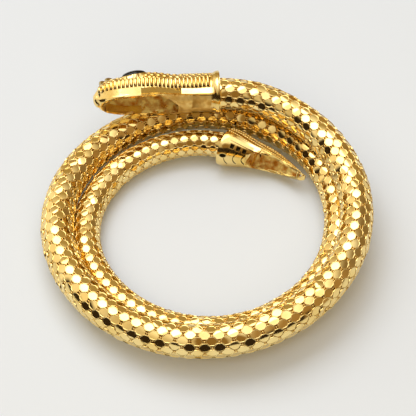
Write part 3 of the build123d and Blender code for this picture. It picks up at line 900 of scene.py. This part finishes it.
for k in range(RIB_COUNT):
    station = RIB_FIRST + (HEAD_LENGTH - RIB_SNOUT - RIB_FIRST) * k / (RIB_COUNT - 1)
    low, high = [between(RIB_ENDS, station / HEAD_LENGTH, column) * HEAD_TOP for column in (1, 2)]
    for hand in (1, -1):
        outward = Vector((hand, 0, 0))
        hit = head_side_point(hand, low + RIB_MIDDLE * (high - low), station)
        axes = Matrix((UP, Vector((0, 1, 0)), outward)).transposed()
        place = Matrix.Translation(hit - outward * RIB_SINK) @ axes.to_4x4()
        for vertex in lump(head, place, RIB_HALF_WIDTH, RIB_REACH * (high - low), RIB_HALF_DEPTH):
            rise = min(max((vertex.co.y - low) / (high - low), 0.0), 1.0)
            width = RIB_FOOT_WIDTH + (1 - RIB_FOOT_WIDTH) * rise
            vertex.co.z = station + (vertex.co.z - station) * width

JAW_STEPS = 16
JAW_BELOW_RIBS = 0.10
JAW_ABOVE_RIM = 0.06
JAW_THICKNESS = 1.2
JAW_FACETS = [
    # (first station, last station, lean in degrees, proud)
    (1.6, 10.6, 3.0, 0.34),
    (10.6, 21.6, -19.0, 0.36),
    (21.6, 31.4, 13.0, 0.12),
]


def jaw_facet(hand, first, last, lean, proud):
    """Sections of a flat facet of the jaw, which leans back by an angle from upright."""
    rows = []
    for k in range(JAW_STEPS + 1):
        station = first + (last - first) * k / JAW_STEPS
        top = between(RIB_ENDS, station / HEAD_LENGTH, 1) * HEAD_TOP - JAW_BELOW_RIBS
        sloped = max(0.0, station - RIM_SLOPE_START) / (HEAD_LENGTH - RIM_SLOPE_START)
        low = JAW_ABOVE_RIM - (RIM_REAR + (RIM_FRONT - RIM_REAR) * sloped)
        hit = head_side_point(hand, (top + low) / 2, station)
        spread = (top - low) / 2 * math.tan(lean)
        surface = hit.x * hand + proud
        deep = surface - JAW_THICKNESS
        corners = [(surface + spread, top), (surface - spread, low), (deep, low), (deep, top)]
        rows.append((station, [(hand * x, y) for x, y in corners]))
    return rows


for hand in (1, -1):
    for first, last, lean, proud in JAW_FACETS:
        band(head, jaw_facet(hand, first, last, math.radians(lean), proud))

COLLAR_RINGS = [
    # (station, radius, thickness)
    (0.35, 5.86, 0.27),
    (2.05, 5.36, 0.16),
]
NOSE_MIDDLE = (0.1, -1.35, HEAD_LENGTH - 1.55)
NOSE_HALF_SIZES = (1.75, 2.35, 1.6)

for station, radius, thickness in COLLAR_RINGS:
    ring(head, station, radius, thickness)
lump(head, Matrix.Translation(NOSE_MIDDLE), *NOSE_HALF_SIZES, subdivisions=4)
finish_casting(head, "cast_head", "head", head_frame)


# The tail cap's relief, cast in one with it: rows of beads along its outer side, three
# small facets painted dark as a painted dark reflection, a plain shallow dimple near its
# mouth with painted shade on its floor, thin ridges across its belly painted dark as the
# painted shade of engraved lines, and one flat bright band that stands out more toward the tip.
CAP_LENGTH = 24.6
CAP_WALL_STEP = 0.5
BEAD_SINK = 0.05
BEAD_TAPER = 0.35
BEAD_STRETCH = 1.35
BEAD_RISE = 0.75
BEAD_PITCH = 2.1
BEAD_ROWS = [
    # (angle from local X, first station, last station, bead radius)
    (math.radians(186), 0.6, 23.0, 0.30),
    (math.radians(170), 0.6, 22.5, 0.36),
    (math.radians(152), 0.6, 21.5, 0.38),
    (math.radians(132), 0.6, 21.0, 0.50),
    (math.radians(110), 0.6, 20.0, 0.52),
]

cap = cast_shape("tail_cap", cap_frame)
cap_skin = BVHTree.FromBMesh(cap)
roughen(cap, CAP_WALL_STEP)
for angle, first, last, radius in BEAD_ROWS:
    station = first
    while station < last:
        size = radius * (1.0 - BEAD_TAPER * station / CAP_LENGTH)
        place = skin_place(cap_skin, station, angle, BEAD_SINK)
        lump(cap, place, size, BEAD_STRETCH * size, BEAD_RISE * size)
        station += BEAD_PITCH * size

INSET_SKIRT = 0.4
INSET_FLOOR = 0.02
FACET_ANGLE = math.radians(231)
FACET_STATIONS = (3.3, 5.0, 6.7)
FACET = [(0.62, 0.56), (-0.62, 0.56), (-0.62, -0.56), (0.62, -0.56)]
DIMPLE_STATION = 1.7
DIMPLE_ANGLE = math.radians(266)
DIMPLE_SIDES = 20
DIMPLE_TURNS = [2 * math.pi * k / DIMPLE_SIDES for k in range(DIMPLE_SIDES)]
DIMPLE = [(0.62 * math.cos(turn), 0.95 * math.sin(turn)) for turn in DIMPLE_TURNS]


def framed_inset(shape, place, outline, rim, rim_height):
    """A small inset with a raised rim and a floor painted near black: a painted dark reflection in a facet,
    painted shade in a dimple.
    """
    sizes = [(1.0 + rim, -INSET_SKIRT), (1.0 + rim, rim_height), (1.0, rim_height), (1.0, INSET_FLOOR)]
    loops = []
    for size, height in sizes:
        loops.append([shape.verts.new(place @ Vector((x * size, y * size, height))) for x, y in outline])
    faces = [shape.faces.new(loops[-1])]
    faces[0].material_index = PAINTED_DARK_FACES
    for lower, upper in zip(loops, loops[1:]):
        for k in range(len(outline)):
            n = (k + 1) % len(outline)
            faces.append(shape.faces.new((lower[k], lower[n], upper[n], upper[k])))
    faces[0].normal_update()
    if faces[0].normal.dot(place.col[2].xyz) < 0:
        bmesh.ops.reverse_faces(shape, faces=faces)


# The facets' floors are a painted dark reflection, and the dimple's floor is painted shade.
for station in FACET_STATIONS:
    framed_inset(cap, skin_place(cap_skin, station, FACET_ANGLE), FACET, 0.28, 0.10)
framed_inset(cap, skin_place(cap_skin, DIMPLE_STATION, DIMPLE_ANGLE), DIMPLE, 0.22, 0.08)

RIDGE_STATIONS = (3.0, 5.2, 7.4, 9.6)
RIDGE_START = math.radians(246)
RIDGE_END = math.radians(300)
RIDGE_STEPS = 18
RIDGE_BOW = 0.9
RIDGE_SINK = 0.03
RIDGE_HALF_SIZES = (0.42, 0.11, 0.6 * 0.11)

# The ridges are painted near black: painted shade, as of engraved lines.
for station in RIDGE_STATIONS:
    for k in range(RIDGE_STEPS):
        share = (k + 0.5) / RIDGE_STEPS
        angle = RIDGE_START + (RIDGE_END - RIDGE_START) * share
        bowed = station - RIDGE_BOW * math.sin(math.pi * share)
        place = skin_place(cap_skin, bowed, angle, RIDGE_SINK)
        lump(cap, place, *RIDGE_HALF_SIZES, subdivisions=1, kind=PAINTED_DARK_FACES)

BRIGHT_START = 2.2
BRIGHT_LENGTH = 8.6
BRIGHT_STEPS = 16
BRIGHT_CLIMB = 0.10
BRIGHT_SECTION = [
    # (angle in degrees from local X, lift from the skin)
    (194, 0.16),
    (204, 0.26),
    (215, 0.16),
    (215, -0.8),
    (194, -0.8),
]

bright_band = []
for k in range(BRIGHT_STEPS + 1):
    station = BRIGHT_START + BRIGHT_LENGTH * k / BRIGHT_STEPS
    section = []
    for degrees, lift in BRIGHT_SECTION:
        angle = math.radians(degrees)
        place = skin_place(cap_skin, station, angle).translation
        reach = place.xy.length + lift + BRIGHT_CLIMB * (station - BRIGHT_START)
        section.append((reach * math.cos(angle), reach * math.sin(angle)))
    bright_band.append((station, section))
band(cap, bright_band)
finish_casting(cap, "cast_tail_cap", "tail_cap", cap_frame)


# The stones: moulded black glass cabochons with a high polish, held in cast settings. The
# glass looks solid black, with one small clear highlight.
black_glass = bpy.data.materials.new("polished_black_glass")
black_glass.use_nodes = True
surface = black_glass.node_tree.nodes["Principled BSDF"]
surface.inputs["Base Color"].default_value = linear("#08070A")
surface.inputs["Roughness"].default_value = 0.05
surface.inputs["IOR"].default_value = 1.38
for name in STONE_CLEARANCE:
    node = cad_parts[name]
    node.data.materials.clear()
    node.data.materials.append(black_glass)
